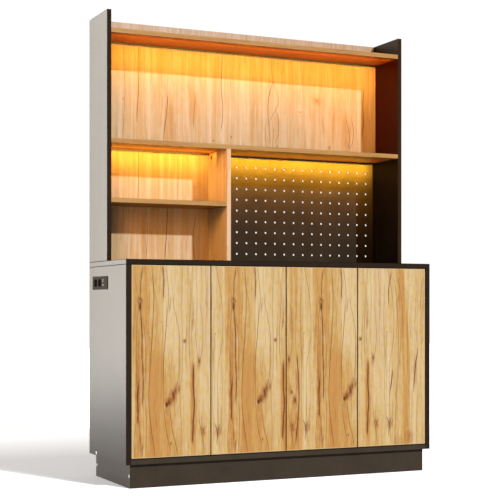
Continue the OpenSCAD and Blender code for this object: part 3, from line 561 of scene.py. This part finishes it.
# drawn on the wooden backs: strands, knots and soft dark shades
backPrint = Look(
    span=(760, 1600), width=1200, left=-600,
    swayCells=(40, 60, 60), swaySeed=5, sway=3, shadeWarmth=0.5,
    crackStreaks=(0.7, 0.9), knotShare=0.9, darkMost=0.85,
    lines=[
        (0.9, 2, 294, 1398, 288, 1326, 277, 1233),
        (0.7, 1.8, 179, 1580, 177, 1500, 179, 1420, 172, 1300),
        (0.6, 1.8, 405, 1409, 399, 1340, 396, 1290),
        (0.9, 2, 515, 1583, 511, 1449, 517, 1341, 511, 1286),
        (0.65, 2.3, 727, 1484, 712, 1430, 706, 1370, 712, 1300, 716, 1242),
        (0.5, 2.1, 731, 1484, 744, 1440, 750, 1400, 738, 1372, 722, 1345, 714, 1320),
        (0.5, 2, 738, 1378, 750, 1350, 752, 1300, 744, 1262, 732, 1236),
        (0.5, 1.6, 700, 1330, 694, 1290, 698, 1236), (0.45, 1.5, 726, 1320, 732, 1280, 726, 1236),
        (0.6, 2, 1048, 1364, 1060, 1320, 1066, 1280, 1058, 1243),
        (0.6, 2, 1076, 1360, 1083, 1320, 1080, 1270, 1070, 1240),
        (0.8, 2.2, 1131, 1475, 1126, 1420, 1130, 1341, 1121, 1290),
        (0.5, 1.6, 725, 1590, 722, 1540, 728, 1484), (0.5, 1.6, 846, 1590, 850, 1500, 842, 1400),
        (1, 2.3, 293, 979, 289, 889, 282, 793), (0.7, 1.9, 404, 956, 395, 865, 398, 800),
        (0.7, 1.8, 179, 1185, 180, 1100, 176, 1000), (0.45, 1.8, 330, 1180, 336, 1080, 332, 1000),
        (0.5, 1.9, 210, 975, 215, 880, 208, 790), (0.4, 1.8, 120, 1560, 126, 1400, 118, 1230),
    ],
    knots=[(0.7, 479, 1241, 4, 5), (0.6, 552, 1259, 4, 8), (0.45, 120, 1375, 4, 6),
           (0.45, 920, 1421, 8, 10), (0.35, 845, 1372, 9, 5), (0.5, 1065, 1250, 4, 14),
           (0.5, 745, 1232, 4, 12), (0.45, 976, 1240, 7, 10)],
    shades=[(0.6, 992, 1320, 9, 110), (0.45, 1055, 1300, 26, 90), (0.35, 640, 1300, 16, 110),
            (0.5, 300, 1300, 26, 120), (0.4, 395, 1360, 20, 80), (0.45, 920, 1421, 24, 26),
            (0.5, 742, 1290, 18, 90), (0.45, 200, 860, 14, 120), (0.4, 1135, 1330, 16, 140)],
)

# how warm each board's print is, how far bands and streaks move it, its tint, and painted light and shade
# over part of it: far and near for painted shade towards the right and left end, then painted shade on the
# front edge and the bars' painted light on the underside
boardPrints = Look(
    uprightBack=Look(along="z", warm=0.22, stir=(1, 0.4), tint=(0.785, 0.865, 1.12), seed=11,
                     farTint=(0.9, 0.85, 0.8), farSpan=(-50, 500),
                     nearTint=(1.06, 0.86, 0.6), nearSpan=(-490, -536), drawn=backPrint),
    uprightPale=Look(along="z", warm=0.12, stir=(0.9, 0.8), tint=(0.92, 0.9, 1.3), seed=23,
                     farTint=(0.93, 0.83, 0.72), farSpan=(-400, 560)),
    divider=Look(along="z", warm=0.2, stir=(1, 0.9), tint=(0.93, 0.9, 0.9), seed=29,
                 hole=(144, 1171, 5), holeFade=(0.8, 0.2), front=(0.74, 0.83, 1.28)),
    shelf=Look(along="x", warm=0.42, stir=(0.6, 0.6), tint=(0.83, 0.67, 0.54), seed=37,
               under=(0.98, 0.82, 0.4), underTop=(1, 0.46, 0.18), topFrom=1500),
)
faceFade = (-0.4, -0.8)  # a face counts as a front or an underside between these


def makeOak(name):
    look = boardPrints[name]
    board = Board(name, {"Specular IOR Level": 0.15})
    x, y, z = board.x, board.y, board.z
    across, deep, along = (x + y, y * 0.3, z) if look.along == "z" else (y + z, z * 0.3, x)
    grain = oakGrain(board, across, deep, along, look.seed)
    pores = oakPores(board, across, deep, along, look.seed)
    warm = stir(look.warm, grain, look.stir + boardStir)
    cracks = None
    if "drawn" in look:
        drawn = look.drawn
        sway = board.grainNoise(x, y, z, drawn.swayCells, 2, drawn.swaySeed) - 0.5
        s = x - drawn.left + sway * drawn.sway
        warm = warm + knotMask(board, s, drawn.shades) * drawn.shadeWarmth
        cracks = strandMasks(board, s, drawn, "lines")
        cracks = cracks * (drawn.crackStreaks[0] + grain.streaks * drawn.crackStreaks[1])
        cracks = cracks.most(knotMask(board, s, drawn.knots) * drawn.knotShare)
    colour = board.tint(board.ramp(warm, oakRamp), look.tint)
    colour = board.blend(colour, oak.line, grain.contour * doorPrint.contourShare)
    if "under" in look:  # the shelves' undersides catch the bars' light and are warmer
        below = board.fade(board.facing(2), *faceFade)
        high = z > look.topFrom
        colour = board.tint(colour, look.under, below * (1 - high))
        colour = board.tint(colour, look.underTop, below * high)
    # painted shade on the divider's front edge
    if "front" in look:
        colour = board.tint(colour, look.front, board.fade(board.facing(1), *faceFade))
    # painted shade towards the right end, and warm painted shade towards the left end
    for end in ("far", "near"):
        if end + "Tint" in look:
            colour = board.tint(colour, look[end + "Tint"], board.fade(x, *look[end + "Span"]))
    if "hole" in look:  # painted shade: the hole's wall is painted dark
        middleY, middleZ, radius = look.hole
        gap = board.vector("DISTANCE", board.join(0, y, z), (0, middleY, middleZ))
        hole = board.fade(gap, *[radius + reach for reach in look.holeFade])
        colour = board.blend(colour, oak.dark, hole)
    if cracks is not None:
        colour = board.blend(colour, oak.crack, cracks.least(drawn.darkMost))
    colour = board.blend(colour, oak.line, pores * doorPrint.poreShare)
    return finishOak(board, colour, grain, pores, cracks)


# Dark laminate: near-black brown with a fine embossed grain, eased joints between boards, and painted shade
# on front edges and under the doors

darkLook = Look(
    brown=shade(48, 35, 21, 0.78), shadow=0.68, roughness=0.36, gloss=0.18, alongX=False,
    darkEdges=True, redWall=False, joints=(),
    grainCells=(1.1, 1, 28), grainSeed=8, cloudScale=0.012, toneFade=(0.3, 0.7),
    grainRough=0.06, cloudRough=0.03, bump=(0.22, 0.00018),
    # the boards' front edges are painted darker and browner, as painted shade, and are duller
    front=(0.8, 0.7, 0.6), frontFade=(-0.6, -0.9), frontRough=0.9,
    # dark seams where boards meet; on the base bottom the line at 100 is a painted shadow under the doors
    jointHalf=1.7, jointCore=0.6,
    jointColour=(0.002, 0.0018, 0.0015, 1), jointRough=0.55,
    # the right hutch panel: painted red bar light on the upper bay's inner wall, and a tint on the outer
    # side
    wallX=583, wallSpan=(1206, 1577), wallFade=(-0.5, -0.8), wallTint=(1.4, 0.5, 0.32),
    outerFade=(0.5, 0.8), outerTint=(1.26, 1.6, 2.45),
)


topJoints = (775, 757)  # above and below the worktop
darkKinds = Look(  # what each laminate has of its own
    darkUpright=Look(joints=topJoints),
    # its brown is painted lighter, as painted light on the inner wall and front edge
    darkRight=Look(joints=topJoints, brown=shade(48, 35, 21, 1.2), gloss=0.04, darkEdges=False,
                   redWall=True),
    darkLevel=Look(joints=topJoints, alongX=True),
    # the plinth's brown is painted lighter, as painted light bounced from the floor; its line at 100 is a
    # painted shadow under the doors
    darkPlinth=Look(joints=(100,), alongX=True, brown=shade(66, 56, 45, 0.82), darkEdges=False),
    pegPanel=Look(brown=shade(67, 59, 48, 0.5), roughness=0.5, gloss=0.06, darkEdges=False),
)


def makeDark(name):
    look = Look({**darkLook, **darkKinds[name]})
    board = Board(name, {"Specular IOR Level": look.gloss})
    x, z = board.x, board.z
    across, along = (board.y + z, x) if look.alongX else (x + board.y, z)
    grain = board.grainNoise(across, 0, along, look.grainCells, 3, look.grainSeed)
    cloud = board.cloud(look.cloudScale)
    tone = board.fade(grain * 0.5 + cloud * 0.5, *look.toneFade)
    colour = board.blend(darker(look.brown, look.shadow), look.brown, tone)
    rough = look.roughness + (grain - 0.5) * look.grainRough + (cloud - 0.5) * look.cloudRough
    edge = board.fade(board.facing(1), *look.frontFade)
    # painted shade: front faces darker and browner than the rest of the board
    if look.darkEdges:
        colour = board.tint(colour, look.front, edge)
    rough = rough.most(edge * look.frontRough)
    if look.redWall:  # painted light: the upper bay's right wall is painted the deep red of the light bar
        low, high = look.wallSpan
        facing = board.facing(0)
        wall = board.fade(facing, *look.wallFade) * (x > look.wallX) * (z > low) * (z < high)
        colour = board.tint(colour, look.wallTint, wall)
        colour = board.tint(colour, look.outerTint, board.fade(facing, *look.outerFade))
    for level in look.joints:
        seam = board.fade(abs(z - level), look.jointHalf, look.jointCore)
        colour = board.blend(colour, look.jointColour, seam)
        rough = rough + seam * look.jointRough
    return board.feed(colour=colour, roughness=rough, normal=board.bump(grain, *look.bump))


# Metals and plastics

# noise's detail and roughness, the stain's scale, the share of each in the tone; then where the
# tone turns pale, how dark the rest is, how far the grain changes the roughness, and the bump
fittingKinds = Look(
    metal=Look(metallic=1, noise=(4, 0.6), stain=0.08, mix=(1, 1), fade=(0.7, 1.25),
               shadow=0.82, rough=0.16, bump=(0.12, 0.0001)),
    plastic=Look(metallic=0, noise=(2, 0.5), stain=0.05, mix=(0.4, 0.6), fade=(0.35, 0.65),
                 shadow=0.86, rough=0.12, bump=(0.18, 0.0001)),
)
plasticGrain = (1 / 0.35,) * 3
fittings = {  # kind, colour, roughness, gloss and grain
    "platedSteel": ("metal", (0.72, 0.72, 0.71), 0.26, 0.5, (2, 2, 2)),
    "barHousing": ("metal", (0.05, 0.045, 0.04), 0.4, 0.5, (0.05, 3, 3)),
    "portShell": ("metal", (0.27, 0.26, 0.25), 0.45, 0.5, (1.5, 1.5, 1.5)),
    "platePlastic": ("plastic", shade(84, 78, 72), 0.75, 0.02, plasticGrain),
    "insertPlastic": ("plastic", shade(9, 8, 8), 0.8, 0.01, plasticGrain),
    "bodyPlastic": ("plastic", shade(34, 33, 33), 0.5, 0.45, plasticGrain),
    "latchPlastic": ("plastic", shade(120, 120, 122), 0.45, 0.45, plasticGrain),
    "plungerPlastic": ("plastic", shade(222, 221, 216), 0.4, 0.45, plasticGrain),
}


def makeFitting(name):
    kind, colour, roughness, gloss, grain = fittings[name]
    look = fittingKinds[kind]
    board = Board(name, {"Metallic": look.metallic, "Specular IOR Level": gloss})
    fine = board.noise(board.vector("MULTIPLY", board.place, grain), *look.noise)
    tone = fine * look.mix[0] + board.cloud(look.stain) * look.mix[1]
    mixed = board.blend(darker(colour, look.shadow), darker(colour, 1), board.fade(tone, *look.fade))
    return board.feed(colour=mixed, roughness=roughness + (fine - 0.5) * look.rough,
                      normal=board.bump(fine, *look.bump))


beechLook = Look(pale=shade(208, 176, 130), brown=shade(178, 142, 98), cells=(1.4, 1.4, 9), seed=2,
                 fade=(0.3, 0.7), rough=(0.6, 0.15), bump=(0.3, 0.0002))


def makeBeech(name):
    look = beechLook
    board = Board(name, {"Specular IOR Level": 0.3})
    fleck = board.grainNoise(board.x, board.y, board.z, look.cells, 3, look.seed)
    colour = board.blend(look.brown, look.pale, board.fade(fleck, *look.fade))
    return board.feed(colour=colour, roughness=look.rough[0] + fleck * look.rough[1],
                      normal=board.bump(fleck, *look.bump))


lensLook = Look(
    colour=(1, 0.56, 0.1), base=(0.9, 0.82, 0.66, 1), roughness=0.3, strength=1.6,
    chipPitch=16.7, chipRipple=0.2,
    # levels of the three bars, and the places that part them
    leftBay=1, rightBay=0.8, topBay=0.45, dividerX=-142, topFrom=1300,
    frostScale=0.7, frost=0.1, bump=(0.1, 0.0001),
)


# the lens is brightest over each light chip, and each bay has its own level
def makeLens(name):
    look = lensLook
    board = Board(name, {"Emission Strength": look.strength, "Roughness": look.roughness,
                         "Base Color": look.base})
    chips = (board.x * (2 * math.pi / look.chipPitch)).cosine() * look.chipRipple
    chips = chips + (1 - look.chipRipple)
    low = board.z < look.topFrom
    left = board.x < look.dividerX
    level = low * (left * look.leftBay + (1 - left) * look.rightBay) + (1 - low) * look.topBay
    frost = board.cloud(look.frostScale) * look.frost + (1 - look.frost / 2)
    glow = board.vector("SCALE", look.colour, scale=level * chips * frost)
    return board.feed(emission=glow, normal=board.bump(frost, *look.bump))


made = [makeDoorOak(), makeLens("lightLens"), makeBeech("beech")]
made += [makeOak(name) for name in boardPrints] + [makeDark(name) for name in darkKinds]
made += [makeFitting(name) for name in fittings]
materials = {material.name: material for material in made}
print("materials made:", len(materials))


# What each board and fitting is made of

coats = {
    "oakDoor": "door_1 door_2 door_3 door_4",
    "uprightBack": "upper_back lower_back",
    "uprightPale": "gallery_rail",
    "divider": "hutch_divider",
    "shelf": "top_shelf mid_shelf small_shelf",
    "darkUpright": "base_side_left base_side_right base_partition base_backs hutch_side_left",
    "darkRight": "hutch_side_right",
    "darkLevel": "worktop shelf_left shelf_right",
    "darkPlinth": "base_bottom plinth_front plinth_back plinth_left plinth_right plinth_stretchers",
    "pegPanel": "pegboard",
    "platedSteel": "side_screws shelf_pins hinge_arms hinge_plates "
                   + " ".join(f"hinge_cups_{i} hinge_links_{i} strike_plate_{i}" for i in doorIds),
    "barHousing": "led_bar_top led_bar_left led_bar_right",
    "lightLens": "led_lenses",
    "platePlastic": "socket_plate",
    "insertPlastic": "socket_inserts",
    "bodyPlastic": "socket_body",
    "portShell": "usb_ports",
    "latchPlastic": "latch_bodies",
    "plungerPlastic": "plunger_1 plunger_2 plunger_3 plunger_4",
    "beech": "dowels",
}
for coat, members in coats.items():
    for member in members.split():
        slots = nodes[member].data.materials
        slots.clear()
        slots.append(materials[coat])
bare = set(nodes) - set(" ".join(coats.values()).split())
print("nodes without a coat:", sorted(bare))


# Small screws: a low dome over polar rings, with a cross-shaped recess pressed into it

screwLook = Look(rings=12, around=32, hub=0.08, crossHalf=0.17, crossEdge=1.35, crossReach=0.62,
                 crossFall=6, sink=0.55, skirt=0.15)


# height over the disc = dome * (1 - r^2), less the recess, which is a smooth cross in (u, v)
def screwMesh(centre, facing, radius, rise):
    look = screwLook
    facing = np.array(facing, float)
    side = np.cross(facing, [0, 0, 1.0]) if abs(facing[2]) < 0.9 else np.array([1.0, 0, 0])
    side = side / np.linalg.norm(side)
    up = np.cross(facing, side)
    r = np.linspace(look.hub, 1, look.rings)
    angle = np.linspace(0, 2 * math.pi, look.around, endpoint=False)
    rr, aa = np.meshgrid(r, angle, indexing="ij")
    u, v = rr * np.cos(aa), rr * np.sin(aa)
    narrow = np.minimum(np.abs(u), np.abs(v)) / look.crossHalf
    recess = np.clip(look.crossEdge - narrow, 0, 1) * np.clip((look.crossReach - rr) * look.crossFall, 0, 1)
    h = rise * (1 - rr ** 2) - recess * rise * look.sink
    dome = np.stack([u * radius, v * radius, h], -1).reshape(-1, 3)
    poles = np.array([[0, 0, rise * (1 - look.sink)], [0, 0, -look.skirt]])
    skirt = np.stack([u[-1] * radius, v[-1] * radius, 0 * u[-1] - look.skirt], -1)
    local = np.concatenate([dome, skirt, poles])
    points = np.array(centre) + local[:, :1] * side + local[:, 1:2] * up + local[:, 2:] * facing
    n, m = look.rings + 1, look.around
    ring = np.arange(n * m).reshape(n, m)
    after = np.roll(ring, -1, axis=1)
    quads = np.stack([ring[:-1], ring[1:], after[1:], after[:-1]], -1).reshape(-1, 4)
    top, bottom = np.full(m, n * m), np.full(m, n * m + 1)
    caps = np.concatenate([np.stack(corners, -1) for corners in (
        (top, ring[0], after[0]), (bottom, after[-1], ring[-1]))])
    return points / perMetre, quads, caps


def addScrews(name, body, slot, material, places):
    points, faces = np.zeros((0, 3)), []
    for place in places:
        more, quads, caps = screwMesh(*place)
        faces += (quads + len(points)).tolist() + (caps + len(points)).tolist()
        points = np.concatenate([points, more])
    mesh = bpy.data.meshes.new(name)
    mesh.from_pydata(points.tolist(), [], faces)
    mesh.update()
    piece = addObject(name, mesh)
    mesh.materials.append(material)
    mesh.polygons.foreach_set("use_smooth", [True] * len(mesh.polygons))
    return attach(piece, body)


fittingPlaces = Look(
    hingeHeights=(202, 655),
    # across the door from its hinge edge, Y, distance from the middle, and radius and rise
    cupIn=24.5, cupY=-181, cupHalf=24, cupHead=(3.9, 1.1),
    latchIn=264.5, strikeY=-181.05, strikeZ=749, strikeHalf=6.4, strikeHead=(1.7, 0.22),
    sideIn=0, partitionIn=10, plateY=-140, plateHalf=20, plateHead=(3.6, 1),
    earY=-146, earZ=754.5, earHalf=10.5, earHead=(2.8, 1.2),
    socketX=-601, socketYs=(-1, 150), socketZ=698.5, socketHead=(2.3, 0.7),
    # X, Y, Z and head radius on the plinth and the base side, on either side of the cabinet
    sideHeads=((578, -173, 41, 4.4), (578, 175, 41, 4.4), (600, 121, 91, 3.4)),
    sideRise=0.5,
)
ends = (-1, 1)


# two heads on door i's fittings, apart by twice wide across the door or twice tall in height
def headPair(i, along, y, z, wide, tall, facing, head):
    start = doors.start + (i - 1) * doors.pitch
    spots = [along + s * wide for s in ends]
    xs = [start + spot if i % 2 else start + doors.width - spot for spot in spots]
    return [((x, y, z + s * tall), facing, *head) for x, s in zip(xs, ends)]


def fitScrews():
    look = fittingPlaces
    steel = ("plated_steel", materials["platedSteel"])
    plates, ears = [], []
    for i in doorIds:
        heads = []
        plateIn = look.partitionIn if i in (2, 3) else look.sideIn
        for z in look.hingeHeights:
            heads += headPair(i, look.cupIn, look.cupY, z, 0, look.cupHalf, (0, 1, 0), look.cupHead)
            towards = (1 if i % 2 else -1, 0, 0)  # along the door, away from its hinge edge
            plates += headPair(i, plateIn, look.plateY, z, 0, look.plateHalf, towards, look.plateHead)
        heads += headPair(i, look.latchIn, look.strikeY, look.strikeZ, look.strikeHalf, 0, (0, 1, 0),
                          look.strikeHead)
        ears += headPair(i, look.latchIn, look.earY, look.earZ, look.earHalf, 0, (0, 0, -1), look.earHead)
        addScrews(f"cup_screws_{i}", f"leaf_{i}", *steel, heads)
    addScrews("plate_screws", "cabinet", *steel, plates)
    addScrews("latch_screws", "cabinet", *steel, ears)
    addScrews("socket_screws", "cabinet", *steel, [
        ((look.socketX, y, look.socketZ), (-1, 0, 0), *look.socketHead) for y in look.socketYs])
    addScrews("side_screw_heads", "cabinet", *steel, [
        ((s * x, y, z), (s, 0, 0), radius, look.sideRise)
        for s in ends for x, y, z, radius in look.sideHeads])


fitScrews()
print("screws added")


# Floor, backdrop light, key light and softboxes

stageLook = Look(
    floorHalf=14, floorColour=(0.83, 0.87, 0.93, 1), floorRoughness=0.7, floorGloss=0.1,
    floorFade=(800, 1550), floorGlow=(0.35, 0.68),  # the fade is a print's, in millimetres
    ambient=0.42, ambientColour=(1, 0.9, 0.8, 1), backdrop=1.02,
    sunPlace=(2, -5, 4), sunWay=(-0.385, 1, -0.583), sunStrength=3.45, sunAngle=1.8,
    floorSun=2.6, floorSunAngle=10,
    sheenPlace=(-2.7, 3.8, 2.55), sheenSize=(1.7, 5.3), sheenWatts=300,
    sheenColour=(1, 0.945, 0.85),
)


def makeStage():
    look = stageLook
    half = look.floorHalf
    mesh = bpy.data.meshes.new("floor")
    corners = [(-half, -half, 0), (half, -half, 0), (half, half, 0), (-half, half, 0)]
    mesh.from_pydata(corners, [], [(0, 1, 2, 3)])
    floor = addObject("floor", mesh)
    board = Board("floorPaper", {"Base Color": look.floorColour, "Roughness": look.floorRoughness,
                                 "Specular IOR Level": look.floorGloss, "Emission Strength": 1})
    # the paper's own glow rises behind the cabinet, so that the long shadow fades out there
    span = (board.y, *look.floorFade, *look.floorGlow)
    glow = board.put("MapRange", values=dict(enumerate(span)))
    mesh.materials.append(board.feed(emission=glow))
    floor.visible_diffuse = False

    world = bpy.data.worlds.new("studio")
    bpy.context.scene.world = world
    world.use_nodes = True
    tree = world.node_tree
    tree.nodes.clear()
    room, seen, path, mix, output = [tree.nodes.new("ShaderNode" + kind) for kind in (
        "Background", "Background", "LightPath", "MixShader", "OutputWorld")]
    for node, colour, strength in ((room, look.ambientColour, look.ambient),
                                   (seen, (1, 1, 1, 1), look.backdrop)):
        node.inputs[0].default_value = colour
        node.inputs[1].default_value = strength
    for out, into in ((path.outputs["Is Camera Ray"], mix.inputs[0]), (room.outputs[0], mix.inputs[1]),
                      (seen.outputs[0], mix.inputs[2]), (mix.outputs[0], output.inputs[0])):
        tree.links.new(out, into)
    return floor


def addLight(name, kind, place, aim, energy, colour=(1, 1, 1), size=None, spread=None, only=None,
             without=None):
    light = bpy.data.lights.new(name, kind)
    light.energy = energy
    light.color = colour
    if size is not None:
        light.shape = "RECTANGLE"
        light.size, light.size_y = size
    if spread is not None:
        light.spread = math.radians(spread)
    lamp = addObject(name, light)
    lamp.location = place
    lamp.rotation_euler = Vector(aim).to_track_quat("-Z", "Y").to_euler()
    lamp.visible_camera = False
    if only or without:
        lit = bpy.data.collections.new(name + "Lit")
        for member in only or without:
            lit.objects.link(member)
        for entry in lit.collection_objects:
            entry.light_linking.link_state = "INCLUDE" if only else "EXCLUDE"
        lamp.light_linking.receiver_collection = lit
    return lamp


topBay = "upper_back top_shelf mid_shelf gallery_rail hutch_side_left led_bar_top"
fromLeft = (-1.45, -1.5, 1.95), (1.3, 1.6, -0.95), (0.6, 1.1)  # place, aim and size
glowLook = Look(
    blue=0.035, depth=0.02,
    # soft strips for the light bars' spread under each shelf: left end, right end, Y, Z, aim,
    # watts, spread, green in the light, and what it lights
    strips=Look(
        glowTop=(-0.575, 0.575, 0.03, 1.574, (0, 1, -0.45), 2.7, 110, 0.45, topBay),
        glowLeft=(-0.575, -0.150, 0.09, 1.187, (0, 1, -0.4), 1.08, 130, 0.45, ""),
        glowRight=(-0.110, 0.565, 0.142, 1.187, (0, 1, -0.45), 14, 140, 0.56, "pegboard"),
        glowRightFar=(-0.110, 0.565, 0.06, 1.187, (0, 1, -0.7), 2.4, 120, 0.26, "pegboard"),
        glowUnder=(-0.110, 0.565, 0.12, 1.10, (0, 0.2, 1), 0.2, 140, 0.45, "mid_shelf"),
    ),
    # warm fills for single boards: place, aim, size, watts, colour, spread, and what it lights
    fills=Look(
        fillDivider=(*fromLeft, 74, (1, 0.52, 0.17), None, "hutch_divider"),
        fillHigh=(*fromLeft, 19, (1, 0.45, 0.16), None, "lower_back"),
        fillBacks=((-1.45, -1.5, 1.15), (1, 1.3, -0.02), (0.6, 0.9), 24.5, (1, 0.37, 0.06), None,
                   "lower_back upper_back"),
        fillCorner=((0.15, -0.9, 1.4), (0.42, 1.07, 0), (0.1, 0.3), 0.66, (1, 0.45, 0.1), 40,
                    "upper_back"),
        fillSide=((0.2, 0, 1.46), (1, 0.25, 0.1), (0.2, 0.2), 1.1, (1, 0.02, 0.01), None,
                  "hutch_side_right"),
        fillBay=((-0.9, -0.75, 1.09), (0.75, 0.87, 0), (0.1, 0.1), 0.07, (1, 0.65, 0.3), 14,
                 "hutch_divider"),
    ),
)


def addLights(floor):
    look = stageLook
    for name, strength, angle, only in (("keySun", look.sunStrength, look.sunAngle, None),
                                        ("floorSun", look.floorSun, look.floorSunAngle, [floor])):
        sun = addLight(name, "SUN", look.sunPlace, look.sunWay, strength, only=only)
        sun.data.angle = math.radians(angle)
    addLight("sheenBox", "AREA", look.sheenPlace, (0, -1, 0), look.sheenWatts,
             look.sheenColour, look.sheenSize, without=[floor])
    look = glowLook
    for name, (x0, x1, y, z, aim, watts, spread, green, only) in look.strips.items():
        addLight(name, "AREA", ((x0 + x1) / 2, y, z), aim, watts, (1, green, look.blue),
                 (x1 - x0, look.depth), spread, [nodes[member] for member in only.split()])
    for name, (place, aim, size, watts, colour, spread, only) in look.fills.items():
        lit = [nodes[member] for member in only.split()]
        addLight(name, "AREA", place, aim, watts, colour, size, spread, lit)


addLights(makeStage())
print("stage and lights set")


# Camera: upright two-point view, fitted to the boards' edges

cameraLook = Look(place=(-2.0219, -4.2629, 0.6136), turn=-24.834, lens=91.98, sensor=36,
                  shiftUp=0.1138, clip=100)
camera = bpy.data.cameras.new("view")
camera.lens = cameraLook.lens
camera.sensor_width = cameraLook.sensor
camera.shift_y = cameraLook.shiftUp
camera.clip_end = cameraLook.clip
eye = addObject("view", camera)
eye.location = cameraLook.place
eye.rotation_euler = (math.radians(90), 0, math.radians(cameraLook.turn))
bpy.context.scene.camera = eye
bpy.context.scene.view_settings.view_transform = "Standard"
bpy.context.scene.view_settings.look = "None"
